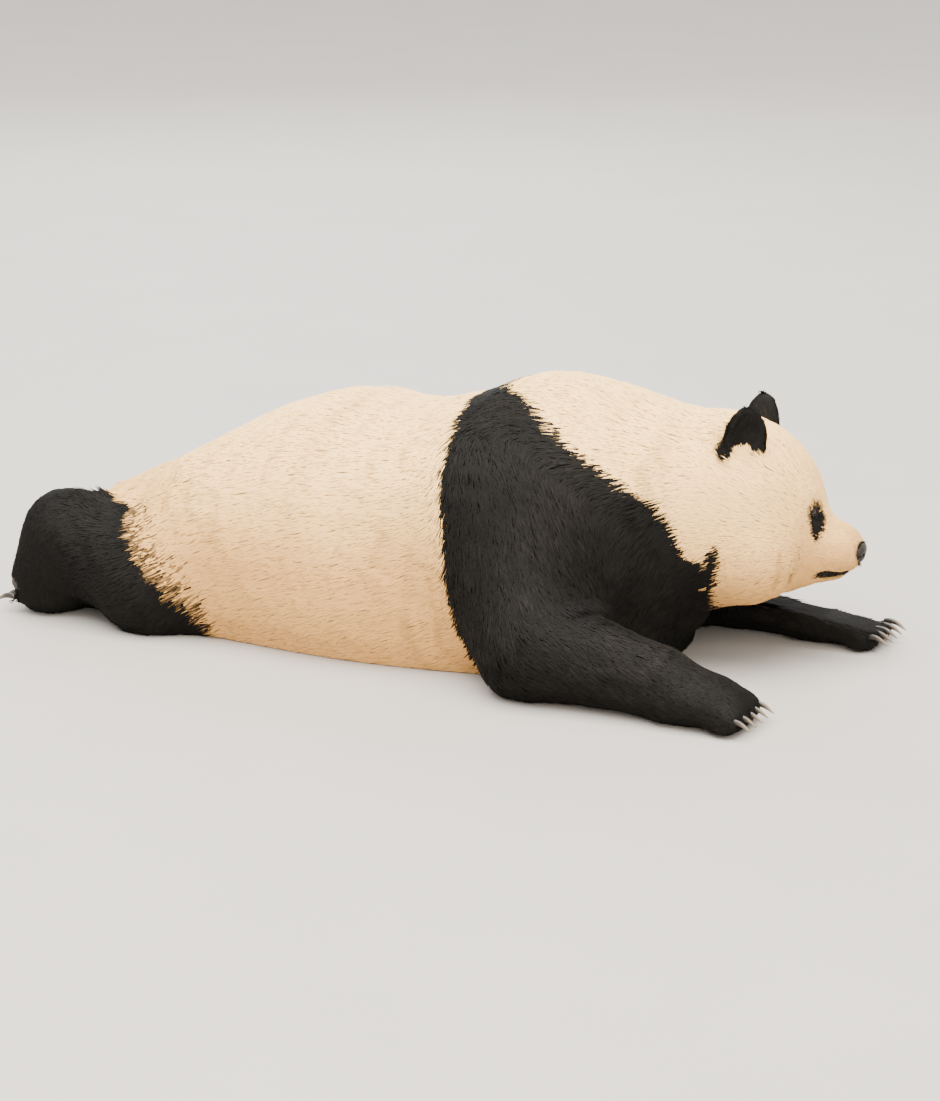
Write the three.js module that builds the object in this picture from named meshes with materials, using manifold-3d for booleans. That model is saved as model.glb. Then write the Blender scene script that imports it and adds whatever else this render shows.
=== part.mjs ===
// A giant panda, life size, lying flat on its belly with its forelegs stretched ahead, its hind
// legs stretched behind on their toes and its head turned to its left, as a museum shows one.
// Millimetres, +Z up, +X ahead along the body, +Y to the animal's left. The floor is z = 0.
//
// The body is one smooth surface: the level 0 of a field that blends egg shapes (muscle and fat
// under the coat) and tapered bones (limbs). The surface is the outside of the coat. It is meshed
// region by region, with smaller steps where the form is finer, and parted by thin cuts.
import * as THREE from "three";
import Module from "manifold-3d";
import { mergeVertices } from "three/addons/utils/BufferGeometryUtils.js";

const wasm = await Module();
wasm.setup();

const DEGREE = Math.PI / 180;
const SIDES = { right: -1, left: 1 };

// ---------------------------------------------------------------- driving dimensions

const GAP = 0.4; // clear space left between neighbouring pieces
const ROOM = { ahead: 900, across: 420, up: 560 }; // half length, half width and height around it all

// Trunk: place ahead, top of the back, half width, height of the widest place.
const STATIONS = [
  [-640, 112, 120, 70],
  [-560, 200, 195, 90],
  [-430, 286, 248, 110],
  [-290, 368, 276, 125],
  [-150, 412, 290, 135],
  [-20, 406, 290, 135],
  [100, 434, 274, 140],
  [225, 474, 246, 150],
  [350, 446, 216, 165],
  [470, 372, 140, 190],
];
const SAG = 90; // the barrel's lowest place, below the floor, so that the belly is spread flat on it
const SQUARENESS = 2.3; // power of the barrel's rounded section
const RUMP = { at: [-520, 0, 95], half: [150, 200, 125] };
const BREAST = { at: [330, 0, 240], half: [190, 205, 205] };
const NECK = { from: [300, 10, 284], to: [520, 84, 292], radii: [164, 136] };
const THROAT = { at: [420, 45, 190], half: [160, 160, 140] };
const TAIL = { from: [-630, 0, 128], to: [-712, 0, 62], radii: [52, 36] };

// Head: its middle, and how far it is turned left, bowed and tilted to the left, in degrees. What
// is on the head is placed in its own axes: ahead along the face, left, and up through the crown.
const HEAD = { at: [574, 114, 262], turn: 15, bow: 10, tilt: -8 };
const DOME = { at: [-17, 0, 0], half: [150, 152, 150] };
const CHEEK = { at: [8, 84, -62], half: [108, 82, 92] };
const MUZZLE = { from: [100, 0, -34], to: [165, 0, -32], radii: [68, 45] };
const CHIN = { from: [80, 0, -82], to: [150, 0, -66], radii: [46, 24] };
const JAW = { at: [150, 0, -80], rise: 20, long: 165, ahead: 80, across: 80, deep: 110 };
const EYE = { at: [116, 59, 27], radius: 12 };
const NOSE = { at: [198, 0, -30], half: [15, 27, 19] };
const EAR = { at: [-18, 121, 108], turn: 64, lean: 6, half: [24, 41, 82] };
const EAR_DISH = { at: [28, 0, 16], half: [30, 29, 56] };

// Forelegs: the shoulder, and each side's elbow, wrist and heading of the paw in degrees.
const SHOULDER = { ahead: 225, across: 150, up: 280 };
const FORELEG = { shoulder: 128, elbow: 92, wrist: 60 };
const FORELEGS = {
  right: { elbow: [345, -258, 88], wrist: [582, -268, 62], heading: 2 },
  left: { elbow: [372, 240, 88], wrist: [610, 256, 62], heading: 4 },
};
const PALM = { at: [70, 0, -20], half: [88, 64, 46] };
const TOE = { ahead: 134, drop: 36, pitch: 26, half: [32, 15, 26] };

// Hind legs: the hip, and each side's knee, heel and ball of the foot.
const HIP = { ahead: -330, across: 150, up: 150 };
const HINDLEG = { hip: 148, knee: 80, heel: 72, ankle: 74, toes: 72 };
const HINDLEGS = {
  right: { knee: [-425, -240, 74], heel: [-600, -236, 150], toes: [-642, -238, 66] },
  left: { knee: [-430, 238, 74], heel: [-606, 222, 96], toes: [-690, 212, 56] },
};

// Claws: cones, five to a foot, placed from the wrist or from the ball of the foot.
const CLAW = { radius: 11, long: 46, sides: 5 };
const FORE_CLAW = { ahead: 164, drop: 40, pitch: 26, dip: 14 };
const HIND_CLAW = { behind: 62, up: 24, pitch: 25, dip: 12 };

// Widths of the soft fillets between the shapes. A leg's fillet with the trunk narrows ahead of
// the shoulders, so that a foreleg stays clear of the chin.
const FILLET = { trunk: 70, nape: 90, neck: 60, tail: 40, skull: 30, head: 50, leg: 40, paw: 18 };
const LEG_ROOT = { wide: 70, narrow: 20, from: 400, over: 120 };

// Steps of the mesh over each part.
const STEP = { trunk: 54, neck: 44, head: 27, leg: 42, foot: 32, paw: 23, ear: 15, nose: 11 };

// Where the parts meet: slanting planes ahead of which the neck and the chest lie, with their
// lean in degrees, and places along the body and off its middle.
const NECK_PLANE = { at: [360, 0, 376], lean: -58 };
const CHEST_PLANE = { at: [176, 0, 300], lean: -13 };
const HEAD_BOX = { low: [-88, -260, -172], high: [300, 260, 260] };
const PAW_BOX = { low: [0, -110, -120], high: [200, 110, 90] };
const FOREARM_BOX = { long: 300, inner: 78, outer: 140, high: 92, rise: 7 };
const UPPER_ARM_BOX = { long: 420, inner: 172, high: 300 };
const HIND_BOXES = {
  hindfoot: { coat: "black", step: "foot", from: -820, to: -560, inner: 128, high: 300 },
  shank: { coat: "black", step: "leg", from: -560, to: -440, inner: 165, high: 215 },
  thigh: { coat: "cream", step: "leg", from: -440, to: -270, inner: 190, high: 250 },
};
const TAIL_BOX = { from: -800, to: -664, half: 70, high: 200 };
const RUMP_END = -320;

const COATS = {
  cream: { color: 0xf1d9bc, roughness: 0.95, metalness: 0 },
  black: { color: 0x2a2723, roughness: 0.9, metalness: 0 },
  horn: { color: 0x171412, roughness: 0.35, metalness: 0 },
};

// ---------------------------------------------------------------- shapes of the field

// Two distances joined with a soft fillet about k wide.
function blend(a, b, k) {
  const near = Math.max(k - Math.abs(a - b), 0) / k;
  return Math.min(a, b) - (near * near * k) / 4;
}

// An egg with half sizes [rx, ry, rz] round a centre.
function egg([cx, cy, cz], [rx, ry, rz]) {
  return (x, y, z) => {
    const a = (x - cx) / rx;
    const b = (y - cy) / ry;
    const c = (z - cz) / rz;
    const out = Math.hypot(a, b, c);
    return (out * (out - 1)) / Math.max(Math.hypot(a / rx, b / ry, c / rz), 1e-9);
  };
}

// A tapered bone from one point to another, r0 round at its start and r1 at its end.
function bone([ax, ay, az], [bx, by, bz], r0, r1) {
  const [dx, dy, dz] = [bx - ax, by - ay, bz - az];
  const square = dx * dx + dy * dy + dz * dz;
  return (x, y, z) => {
    const along = ((x - ax) * dx + (y - ay) * dy + (z - az) * dz) / square;
    const t = Math.min(Math.max(along, 0), 1);
    return Math.hypot(x - ax - t * dx, y - ay - t * dy, z - az - t * dz) - r0 - t * (r1 - r0);
  };
}

// Shapes blended one after another, all with the same fillet.
function body(k, ...shapes) {
  const [first, ...others] = shapes;
  return (x, y, z) => others.reduce((d, shape) => blend(d, shape(x, y, z), k), first(x, y, z));
}

// A frame of its own for a part: origin, then yaw, pitch (nose down) and roll in degrees.
function frameAt(origin, yaw = 0, pitch = 0, roll = 0) {
  const turn = new THREE.Euler(roll * DEGREE, pitch * DEGREE, yaw * DEGREE, "ZYX");
  return new THREE.Matrix4().makeRotationFromEuler(turn).setPosition(...origin);
}

// A shape given in such a frame.
function inFrame(matrix, shape) {
  const e = matrix.clone().invert().elements;
  return (x, y, z) =>
    shape(
      e[0] * x + e[4] * y + e[8] * z + e[12],
      e[1] * x + e[5] * y + e[9] * z + e[13],
      e[2] * x + e[6] * y + e[10] * z + e[14],
    );
}

// A point on the right side or the left side, from its place on the left.
function onSide([x, y, z], sign) {
  return [x, sign * y, z];
}

// ---------------------------------------------------------------- trunk, neck and tail

// The stations' values at a place ahead, on a smooth curve through them.
function station(x) {
  const last = STATIONS.length - 1;
  let i = 0;
  while (i < last - 1 && x > STATIONS[i + 1][0]) i++;
  const share = (x - STATIONS[i][0]) / (STATIONS[i + 1][0] - STATIONS[i][0]);
  const t = Math.min(Math.max(share, 0), 1);
  const near = [i - 1, i, i + 1, i + 2].map((n) => STATIONS[Math.min(Math.max(n, 0), last)]);
  return near[1].map((value, n) => {
    const start = (near[2][n] - near[0][n]) / 2;
    const end = (near[3][n] - value) / 2;
    const rise = near[2][n] - value;
    return value + t * (start + t * (3 * rise - 2 * start - end + t * (start + end - 2 * rise)));
  });
}

// The barrel of the trunk, with a rounded section at each station.
function barrel(x, y, z) {
  const [, top, wide, middle] = station(x);
  const up = z > middle ? (z - middle) / (top - middle) : (middle - z) / (middle + SAG);
  const out = (Math.abs(y / wide) ** SQUARENESS + up ** SQUARENESS) ** (1 / SQUARENESS);
  const ends = Math.max(STATIONS[0][0] - x, x - STATIONS[STATIONS.length - 1][0]);
  return Math.max((out - 1) * Math.min(wide, top - middle), ends);
}
const trunk = body(FILLET.trunk, barrel, egg(RUMP.at, RUMP.half), egg(BREAST.at, BREAST.half));
const neck = body(FILLET.neck, bone(NECK.from, NECK.to, ...NECK.radii), egg(THROAT.at, THROAT.half));
const tail = bone(TAIL.from, TAIL.to, ...TAIL.radii);

// ---------------------------------------------------------------- head

const headFrame = frameAt(HEAD.at, HEAD.turn, HEAD.bow, HEAD.tilt);
const skull = body(
  FILLET.skull,
  egg(DOME.at, DOME.half),
  egg(CHEEK.at, CHEEK.half),
  egg(onSide(CHEEK.at, -1), CHEEK.half),
  bone(MUZZLE.from, MUZZLE.to, ...MUZZLE.radii),
  bone(CHIN.from, CHIN.to, ...CHIN.radii),
);
const head = inFrame(headFrame, skull);

// ---------------------------------------------------------------- legs

// Places of the five toes across a foot, a pitch apart.
function toes(pitch) {
  return [-2, -1, 0, 1, 2].map((n) => n * pitch);
}

// A foreleg: shoulder to elbow, elbow to wrist, and a flat paw that heads to one side.
function foreleg(sign, { elbow, wrist, heading }) {
  const shoulder = [SHOULDER.ahead, sign * SHOULDER.across, SHOULDER.up];
  const arm = body(
    FILLET.leg,
    bone(shoulder, elbow, FORELEG.shoulder, FORELEG.elbow),
    bone(elbow, wrist, FORELEG.elbow, FORELEG.wrist),
  );
  const pads = toes(TOE.pitch).map((y) => egg([TOE.ahead, y, -TOE.drop], TOE.half));
  const paw = inFrame(frameAt(wrist, heading), body(FILLET.paw, egg(PALM.at, PALM.half), ...pads));
  return body(FILLET.leg, arm, paw);
}

// A hind leg: thigh to the knee, shank back to the heel, and a foot that stands on its toes.
function hindleg(sign, { knee, heel, toes: ball }) {
  return body(
    FILLET.leg,
    bone([HIP.ahead, sign * HIP.across, HIP.up], knee, HINDLEG.hip, HINDLEG.knee),
    bone(knee, heel, HINDLEG.knee, HINDLEG.heel),
    bone(heel, ball, HINDLEG.ankle, HINDLEG.toes),
  );
}
const legs = Object.entries(SIDES).flatMap(([side, sign]) => [
  foreleg(sign, FORELEGS[side]),
  hindleg(sign, HINDLEGS[side]),
]);

// ---------------------------------------------------------------- the whole animal

const torso = (x, y, z) => blend(trunk(x, y, z), neck(x, y, z), FILLET.nape);

// Everything but the head. The legs grow out of the trunk.
function headless(x, y, z) {
  const ahead = Math.min(Math.max((x - LEG_ROOT.from) / LEG_ROOT.over, 0), 1);
  const fillet = LEG_ROOT.wide + (LEG_ROOT.narrow - LEG_ROOT.wide) * ahead;
  const tailed = blend(torso(x, y, z), tail(x, y, z), FILLET.tail);
  return legs.reduce((d, leg) => blend(d, leg(x, y, z), fillet), tailed);
}
const headed = (x, y, z) => blend(torso(x, y, z), head(x, y, z), FILLET.head);
const whole = (x, y, z) => blend(headless(x, y, z), head(x, y, z), FILLET.head);

// ---------------------------------------------------------------- meshing

// The level 0 of a field inside a box, as a closed surface with one vertex in each lattice cell
// that it crosses (surface nets), each vertex then moved onto the level along the slope.
function surface(field, [low, high], step) {
  const size = low.map((v, i) => Math.ceil((high[i] - v) / step) + 3);
  const at = (i, j, k) => (i * size[1] + j) * size[2] + k;
  const place = (n, axis) => low[axis] + (n - 1) * step;
  const closed = (x, y, z) => {
    const wall = Math.max(low[0] - x, x - high[0], low[1] - y, y - high[1], low[2] - z, z - high[2]);
    return Math.max(field(x, y, z), wall);
  };
  const value = new Float64Array(size[0] * size[1] * size[2]);
  for (let i = 0; i < size[0]; i++)
    for (let j = 0; j < size[1]; j++)
      for (let k = 0; k < size[2]; k++) value[at(i, j, k)] = closed(place(i, 0), place(j, 1), place(k, 2));
  clearDiagonals(value, size, at);

  const vertex = new Map();
  const points = [];
  const corners = [0, 1, 2, 3, 4, 5, 6, 7].map((n) => [n & 1, (n >> 1) & 1, n >> 2]);
  for (let i = 0; i + 1 < size[0]; i++)
    for (let j = 0; j + 1 < size[1]; j++)
      for (let k = 0; k + 1 < size[2]; k++) {
        const v = corners.map(([a, b, c]) => value[at(i + a, j + b, k + c)]);
        const inside = v.filter((d) => d < 0).length;
        if (inside === 0 || inside === corners.length) continue;
        vertex.set(at(i, j, k), points.length / 3);
        const middle = middleOfCrossings(corners, v);
        const start = [i, j, k].map((n, axis) => place(n, axis) + middle[axis] * step);
        points.push(...ontoLevel(closed, start, step));
      }

  const faces = [];
  const quad = (a, b, c, d, flip) => {
    const [p, q, r, s] = [a, b, c, d].map((cell) => vertex.get(cell));
    const off = (m, n, axis) => points[3 * m + axis] - points[3 * n + axis];
    const apart = (m, n) => Math.hypot(off(m, n, 0), off(m, n, 1), off(m, n, 2));
    const halves = apart(p, r) < apart(q, s) ? [[p, q, r], [p, r, s]] : [[q, r, s], [q, s, p]];
    for (const half of halves) faces.push(...(flip ? half.reverse() : half));
  };
  for (let i = 1; i + 1 < size[0]; i++)
    for (let j = 1; j + 1 < size[1]; j++)
      for (let k = 1; k + 1 < size[2]; k++) {
        const here = value[at(i, j, k)] < 0;
        if (here !== value[at(i + 1, j, k)] < 0)
          quad(at(i, j - 1, k - 1), at(i, j, k - 1), at(i, j, k), at(i, j - 1, k), !here);
        if (here !== value[at(i, j + 1, k)] < 0)
          quad(at(i - 1, j, k - 1), at(i - 1, j, k), at(i, j, k), at(i, j, k - 1), !here);
        if (here !== value[at(i, j, k + 1)] < 0)
          quad(at(i - 1, j - 1, k), at(i, j - 1, k), at(i, j, k), at(i - 1, j, k), !here);
      }
  return new THREE.BufferGeometry()
    .setAttribute("position", new THREE.BufferAttribute(new Float32Array(points), 3))
    .setIndex(new THREE.BufferAttribute(new Uint32Array(faces), 1));
}

// The mean place in a cell, 0 to 1 along each axis, at which the level crosses the cell's edges.
function middleOfCrossings(corners, values) {
  const sum = [0, 0, 0];
  let crossings = 0;
  corners.forEach((p, m) =>
    corners.forEach((q, n) => {
      const apart = Math.abs(p[0] - q[0]) + Math.abs(p[1] - q[1]) + Math.abs(p[2] - q[2]);
      if (n < m || apart !== 1 || values[m] < 0 === values[n] < 0) return;
      const t = values[m] / (values[m] - values[n]);
      for (let axis = 0; axis < 3; axis++) sum[axis] += p[axis] + t * (q[axis] - p[axis]);
      crossings++;
    }),
  );
  return sum.map((v) => v / crossings);
}

// A lattice face whose corners are in, out, in, out would pinch the surface, so its nearest outer
// corner is taken in, JUST_IN deep, until no such face is left.
const JUST_IN = -1e-3;
function clearDiagonals(value, size, at) {
  const planes = [
    [[0, 0, 0], [0, 1, 0], [0, 1, 1], [0, 0, 1]],
    [[0, 0, 0], [1, 0, 0], [1, 0, 1], [0, 0, 1]],
    [[0, 0, 0], [1, 0, 0], [1, 1, 0], [0, 1, 0]],
  ];
  for (let changed = true; changed; ) {
    changed = false;
    for (let i = 0; i + 1 < size[0]; i++)
      for (let j = 0; j + 1 < size[1]; j++)
        for (let k = 0; k + 1 < size[2]; k++)
          for (const plane of planes) {
            const spots = plane.map(([a, b, c]) => at(i + a, j + b, k + c));
            const within = spots.map((s) => value[s] < 0);
            if (within[0] !== within[2] || within[1] !== within[3] || within[0] === within[1]) continue;
            const outer = spots.filter((_, n) => !within[n]);
            value[value[outer[0]] < value[outer[1]] ? outer[0] : outer[1]] = JUST_IN;
            changed = true;
          }
  }
}

// A point moved along the field's slope onto its level 0, at most half a step away. A slope under
// half is taken as half.
const SLOPE = { rounds: 4, nudge: 0.02, leastSquare: 0.25 };
function ontoLevel(field, start, step) {
  const p = [...start];
  const nudge = step * SLOPE.nudge;
  for (let round = 0; round < SLOPE.rounds; round++) {
    const d = field(...p);
    const slope = [0, 1, 2].map((axis) => {
      const q = [...p];
      q[axis] += nudge;
      return (field(...q) - d) / nudge;
    });
    const square = Math.max(slope[0] ** 2 + slope[1] ** 2 + slope[2] ** 2, SLOPE.leastSquare);
    for (let axis = 0; axis < 3; axis++) {
      const moved = p[axis] - (d * slope[axis]) / square;
      p[axis] = Math.min(Math.max(moved, start[axis] - step / 2), start[axis] + step / 2);
    }
  }
  return p;
}

// ---------------------------------------------------------------- solids and cuts

const MERGE = 1e-4; // corners nearer than this are one

function solid(geometry) {
  const bare = geometry.clone();
  bare.deleteAttribute("normal");
  bare.deleteAttribute("uv");
  const merged = mergeVertices(bare, MERGE);
  return new wasm.Manifold(
    new wasm.Mesh({
      numProp: 3,
      vertProperties: merged.attributes.position.array,
      triVerts: new Uint32Array(merged.index.array),
    }),
  );
}

function geometryOf(made) {
  const { vertProperties, triVerts } = made.getMesh();
  return new THREE.BufferGeometry()
    .setAttribute("position", new THREE.BufferAttribute(vertProperties, 3))
    .setIndex(new THREE.BufferAttribute(triVerts, 1));
}

// A region is a box from its low to its high corner, in a frame.
function region(low, high, frame = new THREE.Matrix4()) {
  return { low, high, frame };
}

// A region as a solid, made larger all round by extra.
function box({ low, high, frame }, extra = 0) {
  const size = low.map((v, axis) => high[axis] - v + 2 * extra);
  const centre = low.map((v, axis) => (high[axis] + v) / 2);
  return solid(new THREE.BoxGeometry(...size).translate(...centre).applyMatrix4(frame));
}

// Low and high corner of a cube round the origin of a frame.
function cubeRound(frame, reach) {
  const middle = new THREE.Vector3().setFromMatrixPosition(frame).toArray();
  return [middle.map((v) => v - reach), middle.map((v) => v + reach)];
}

// The same solid with every vertex moved out along its normal.
function grown(made, extra) {
  const geometry = geometryOf(made);
  geometry.computeVertexNormals();
  const { position, normal } = geometry.attributes;
  for (let n = 0; n < position.array.length; n++) position.array[n] += extra * normal.array[n];
  return solid(geometry);
}

// The largest body of a solid, without the loose crumbs that a cut can leave.
function largest(made) {
  return made.decompose().reduce((a, b) => (b.volume() > a.volume() ? b : a));
}

const panda = new THREE.Group();
function add(name, coat, made) {
  const mesh = new THREE.Mesh(geometryOf(largest(made)), new THREE.MeshStandardMaterial(COATS[coat]));
  mesh.name = name;
  panda.add(mesh);
}

// A piece of a field: what lies above the floor, in its region and in none of those taken before.
const taken = [];
const airBox = [[-ROOM.ahead, -ROOM.across, 0], [ROOM.ahead, ROOM.across, ROOM.up]];
const air = box(region(...airBox));
function cut(field, where, step) {
  const corners = [where.low, where.high].map((corner) => new THREE.Vector3(...corner));
  const bounds = new THREE.Box3(...corners).applyMatrix4(where.frame);
  const room = new THREE.Box3(...airBox.map((corner) => new THREE.Vector3(...corner)));
  bounds.intersect(room).expandByScalar(1.5 * step);
  let made = solid(surface(field, [bounds.min.toArray(), bounds.max.toArray()], step));
  made = made.intersect(box(where)).intersect(air);
  for (const other of taken) made = made.subtract(other);
  taken.push(box(where, GAP));
  return made;
}

// ---------------------------------------------------------------- the head and what it carries

let face = cut(headed, region(HEAD_BOX.low, HEAD_BOX.high, headFrame), STEP.head);

const BALL = { sides: 10, rings: 8 };
for (const [side, sign] of Object.entries(SIDES)) {
  const ball = (radius) => {
    const sphere = new THREE.SphereGeometry(radius, BALL.sides, BALL.rings);
    return solid(sphere.translate(...onSide(EYE.at, sign)).applyMatrix4(headFrame));
  };
  face = face.subtract(ball(EYE.radius + GAP));
  add(`eye_${side}`, "horn", ball(EYE.radius));
}

const noseFrame = headFrame.clone().multiply(frameAt(NOSE.at));
const nose = inFrame(noseFrame, egg([0, 0, 0], NOSE.half));
const nosePad = solid(surface(nose, cubeRound(noseFrame, Math.max(...NOSE.half) + STEP.nose), STEP.nose));
face = face.subtract(grown(nosePad, GAP));
add("nose", "horn", nosePad);

const jaw = region(
  [JAW.ahead - JAW.long, -JAW.across, -JAW.deep],
  [JAW.ahead, JAW.across, 0],
  headFrame.clone().multiply(frameAt(JAW.at, 0, -JAW.rise)),
);
add("jaw", "cream", face.intersect(box(jaw)));
face = face.subtract(box(jaw, GAP));

// An ear is a round disc on the side of the crown, dished on its outer face.
for (const [side, sign] of Object.entries(SIDES)) {
  const onHead = frameAt(onSide(EAR.at, sign), sign * EAR.turn, 0, -sign * EAR.lean);
  const earFrame = headFrame.clone().multiply(onHead);
  const disc = egg([0, 0, 0], EAR.half);
  const dish = egg(EAR_DISH.at, EAR_DISH.half);
  const ear = inFrame(earFrame, (x, y, z) => Math.max(disc(x, y, z), -dish(x, y, z)));
  const made = solid(surface(ear, cubeRound(earFrame, Math.max(...EAR.half) + STEP.ear), STEP.ear));
  add(`ear_${side}`, "black", made.subtract(grown(face, GAP)));
}
add("head", "cream", face);

// ---------------------------------------------------------------- paws, legs, tail and trunk

// A foot with its claws: cones with their tips along +x of their places, joined to it.
function withClaws(foot, places) {
  const cone = new THREE.ConeGeometry(CLAW.radius, CLAW.long, CLAW.sides).rotateZ(-90 * DEGREE);
  return places.reduce((made, place) => made.add(solid(cone.clone().applyMatrix4(place))), foot);
}

// Low and high place across the body of what lies from near to far off its middle.
function across(sign, near, far) {
  return sign > 0 ? [near, far] : [-far, -near];
}

const headRoom = grown(face, GAP);
for (const [side, sign] of Object.entries(SIDES)) {
  const { elbow, wrist, heading } = FORELEGS[side];
  const pawFrame = frameAt(wrist, heading);
  const claws = toes(FORE_CLAW.pitch).map((y) =>
    pawFrame.clone().multiply(frameAt([FORE_CLAW.ahead, y, -FORE_CLAW.drop], 0, FORE_CLAW.dip)),
  );
  const paw = cut(headless, region(PAW_BOX.low, PAW_BOX.high, pawFrame), STEP.paw);
  add(`forepaw_${side}`, "black", withClaws(paw, claws));
  const [low, high] = across(sign, -FOREARM_BOX.inner, FOREARM_BOX.outer);
  const forearm = region(
    [0, low, -ROOM.up],
    [FOREARM_BOX.long, high, FOREARM_BOX.high],
    frameAt(elbow, heading, FOREARM_BOX.rise),
  );
  add(`forearm_${side}`, "black", cut(headless, forearm, STEP.leg).subtract(headRoom));
}

const neckFrame = frameAt(NECK_PLANE.at, 0, NECK_PLANE.lean);
const chestFrame = frameAt(CHEST_PLANE.at, 0, CHEST_PLANE.lean);
const neckRegion = region([0, -ROOM.across, -ROOM.up], [ROOM.up, ROOM.across, ROOM.up], neckFrame);
add("neck", "cream", cut(whole, neckRegion, STEP.neck));
for (const [side, sign] of Object.entries(SIDES)) {
  const [low, high] = across(sign, UPPER_ARM_BOX.inner, ROOM.across);
  const arm = region([0, low, -ROOM.up], [UPPER_ARM_BOX.long, high, UPPER_ARM_BOX.high], chestFrame);
  add(`upper_arm_${side}`, "black", cut(headless, arm, STEP.leg));
}
const chestRegion = region([0, -ROOM.across, -ROOM.up], [ROOM.up, ROOM.across, ROOM.up], chestFrame);
add("chest", "black", cut(headless, chestRegion, STEP.trunk).subtract(headRoom));

for (const [side, sign] of Object.entries(SIDES)) {
  const [ballX, ballY] = HINDLEGS[side].toes;
  const claws = toes(HIND_CLAW.pitch).map((y) =>
    frameAt([ballX - HIND_CLAW.behind, ballY + y, HIND_CLAW.up], 180, HIND_CLAW.dip),
  );
  for (const [name, { coat, step, from, to, inner, high }] of Object.entries(HIND_BOXES)) {
    const [near, far] = across(sign, inner, ROOM.across);
    const piece = cut(headless, region([from, near, -GAP], [to, far, high]), STEP[step]);
    add(`${name}_${side}`, coat, name === "hindfoot" ? withClaws(piece, claws) : piece);
  }
}
const { half } = TAIL_BOX;
const tailRegion = region([TAIL_BOX.from, -half, -GAP], [TAIL_BOX.to, half, TAIL_BOX.high]);
add("tail", "cream", cut(headless, tailRegion, STEP.foot));
const rumpRegion = region([-ROOM.ahead, -ROOM.across, -GAP], [RUMP_END, ROOM.across, ROOM.up]);
add("rump", "cream", cut(headless, rumpRegion, STEP.trunk));
const bellyRegion = region([RUMP_END, -ROOM.across, -GAP], [NECK_PLANE.at[0], ROOM.across, ROOM.up]);
add("belly", "cream", cut(headless, bellyRegion, STEP.trunk));

// The origin goes to the floor under the middle of the animal's box.
const extent = new THREE.Box3().setFromObject(panda);
panda.position.set(-(extent.min.x + extent.max.x) / 2, -(extent.min.y + extent.max.y) / 2, 0);

export default panda;
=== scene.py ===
"""A giant panda, life size, flat on its belly with its forelegs ahead of it, as a museum shows one.

Metres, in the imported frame: +X ahead along the body, +Y to the animal's left, the floor at z = 0.
"""

import bmesh
import bpy
import numpy as np
from mathutils import Matrix, Vector
from mathutils.bvhtree import BVHTree


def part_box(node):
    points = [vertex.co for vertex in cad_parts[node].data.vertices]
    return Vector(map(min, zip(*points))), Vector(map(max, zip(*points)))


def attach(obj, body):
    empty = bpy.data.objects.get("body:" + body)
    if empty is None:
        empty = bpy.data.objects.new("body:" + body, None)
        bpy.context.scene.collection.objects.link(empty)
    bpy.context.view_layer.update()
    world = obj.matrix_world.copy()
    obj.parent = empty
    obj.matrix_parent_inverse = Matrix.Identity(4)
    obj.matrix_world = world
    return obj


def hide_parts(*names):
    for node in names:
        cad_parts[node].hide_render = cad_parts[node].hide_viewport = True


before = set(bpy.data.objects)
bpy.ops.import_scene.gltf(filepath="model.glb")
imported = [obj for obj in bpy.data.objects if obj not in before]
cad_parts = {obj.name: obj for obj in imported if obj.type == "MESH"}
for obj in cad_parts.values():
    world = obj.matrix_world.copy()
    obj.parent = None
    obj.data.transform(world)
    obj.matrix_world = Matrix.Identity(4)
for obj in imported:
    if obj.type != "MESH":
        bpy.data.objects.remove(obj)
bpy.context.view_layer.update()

# ---------------------------------------------------------------- camera, floor and light
# The camera stands to the animal's right and a little ahead of it, at a person's eye level
# several metres away. The floor is one plain pale sheet, and the light is a large soft sky from
# above, with a warm window to one side and a cool light behind, as in a museum hall.

AZIMUTH, ELEVATION = np.radians(28.0), np.radians(16.0)
DISTANCE = 6.0
SENSOR = 36                          # millimetres, along the longer side of the view
FOCAL_LENGTH = 110.8                 # millimetres
AIM_RIGHT, AIM_UP = 0.0814, -0.0593  # metres, from the body's middle to the view's
body_middle = np.array([-0.0125, 0.009, 0.2])

right = np.array([np.cos(AZIMUTH), np.sin(AZIMUTH), 0])
back = np.array([
    np.sin(AZIMUTH) * np.cos(ELEVATION), -np.cos(AZIMUTH) * np.cos(ELEVATION), np.sin(ELEVATION)])
up = np.cross(back, right)
stand = body_middle + AIM_RIGHT * right + AIM_UP * up + DISTANCE * back
camera = bpy.data.objects.new("camera", bpy.data.cameras.new("camera"))
camera.data.sensor_width = SENSOR
camera.data.lens = FOCAL_LENGTH
camera.matrix_world = Matrix([[right[i], up[i], back[i], stand[i]] for i in range(3)] + [[0, 0, 0, 1]])
bpy.context.scene.collection.objects.link(camera)
bpy.context.scene.camera = camera


def mesh_object(name, points, faces):
    """Object with a smooth mesh of points (n, 3) and faces (m, 3 or 4), rows of point numbers."""
    mesh = bpy.data.meshes.new(name)
    faces = np.ascontiguousarray(faces, np.int32)
    mesh.vertices.add(len(points))
    mesh.vertices.foreach_set("co", np.ascontiguousarray(points, np.float32).ravel())
    mesh.loops.add(faces.size)
    mesh.loops.foreach_set("vertex_index", faces.ravel())
    mesh.polygons.add(len(faces))
    mesh.polygons.foreach_set("loop_start", np.arange(0, faces.size, faces.shape[1], dtype=np.int32))
    mesh.polygons.foreach_set("use_smooth", np.ones(len(faces), bool))
    mesh.update(calc_edges=True)
    made = bpy.data.objects.new(name, mesh)
    bpy.context.scene.collection.objects.link(made)
    return made


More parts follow.
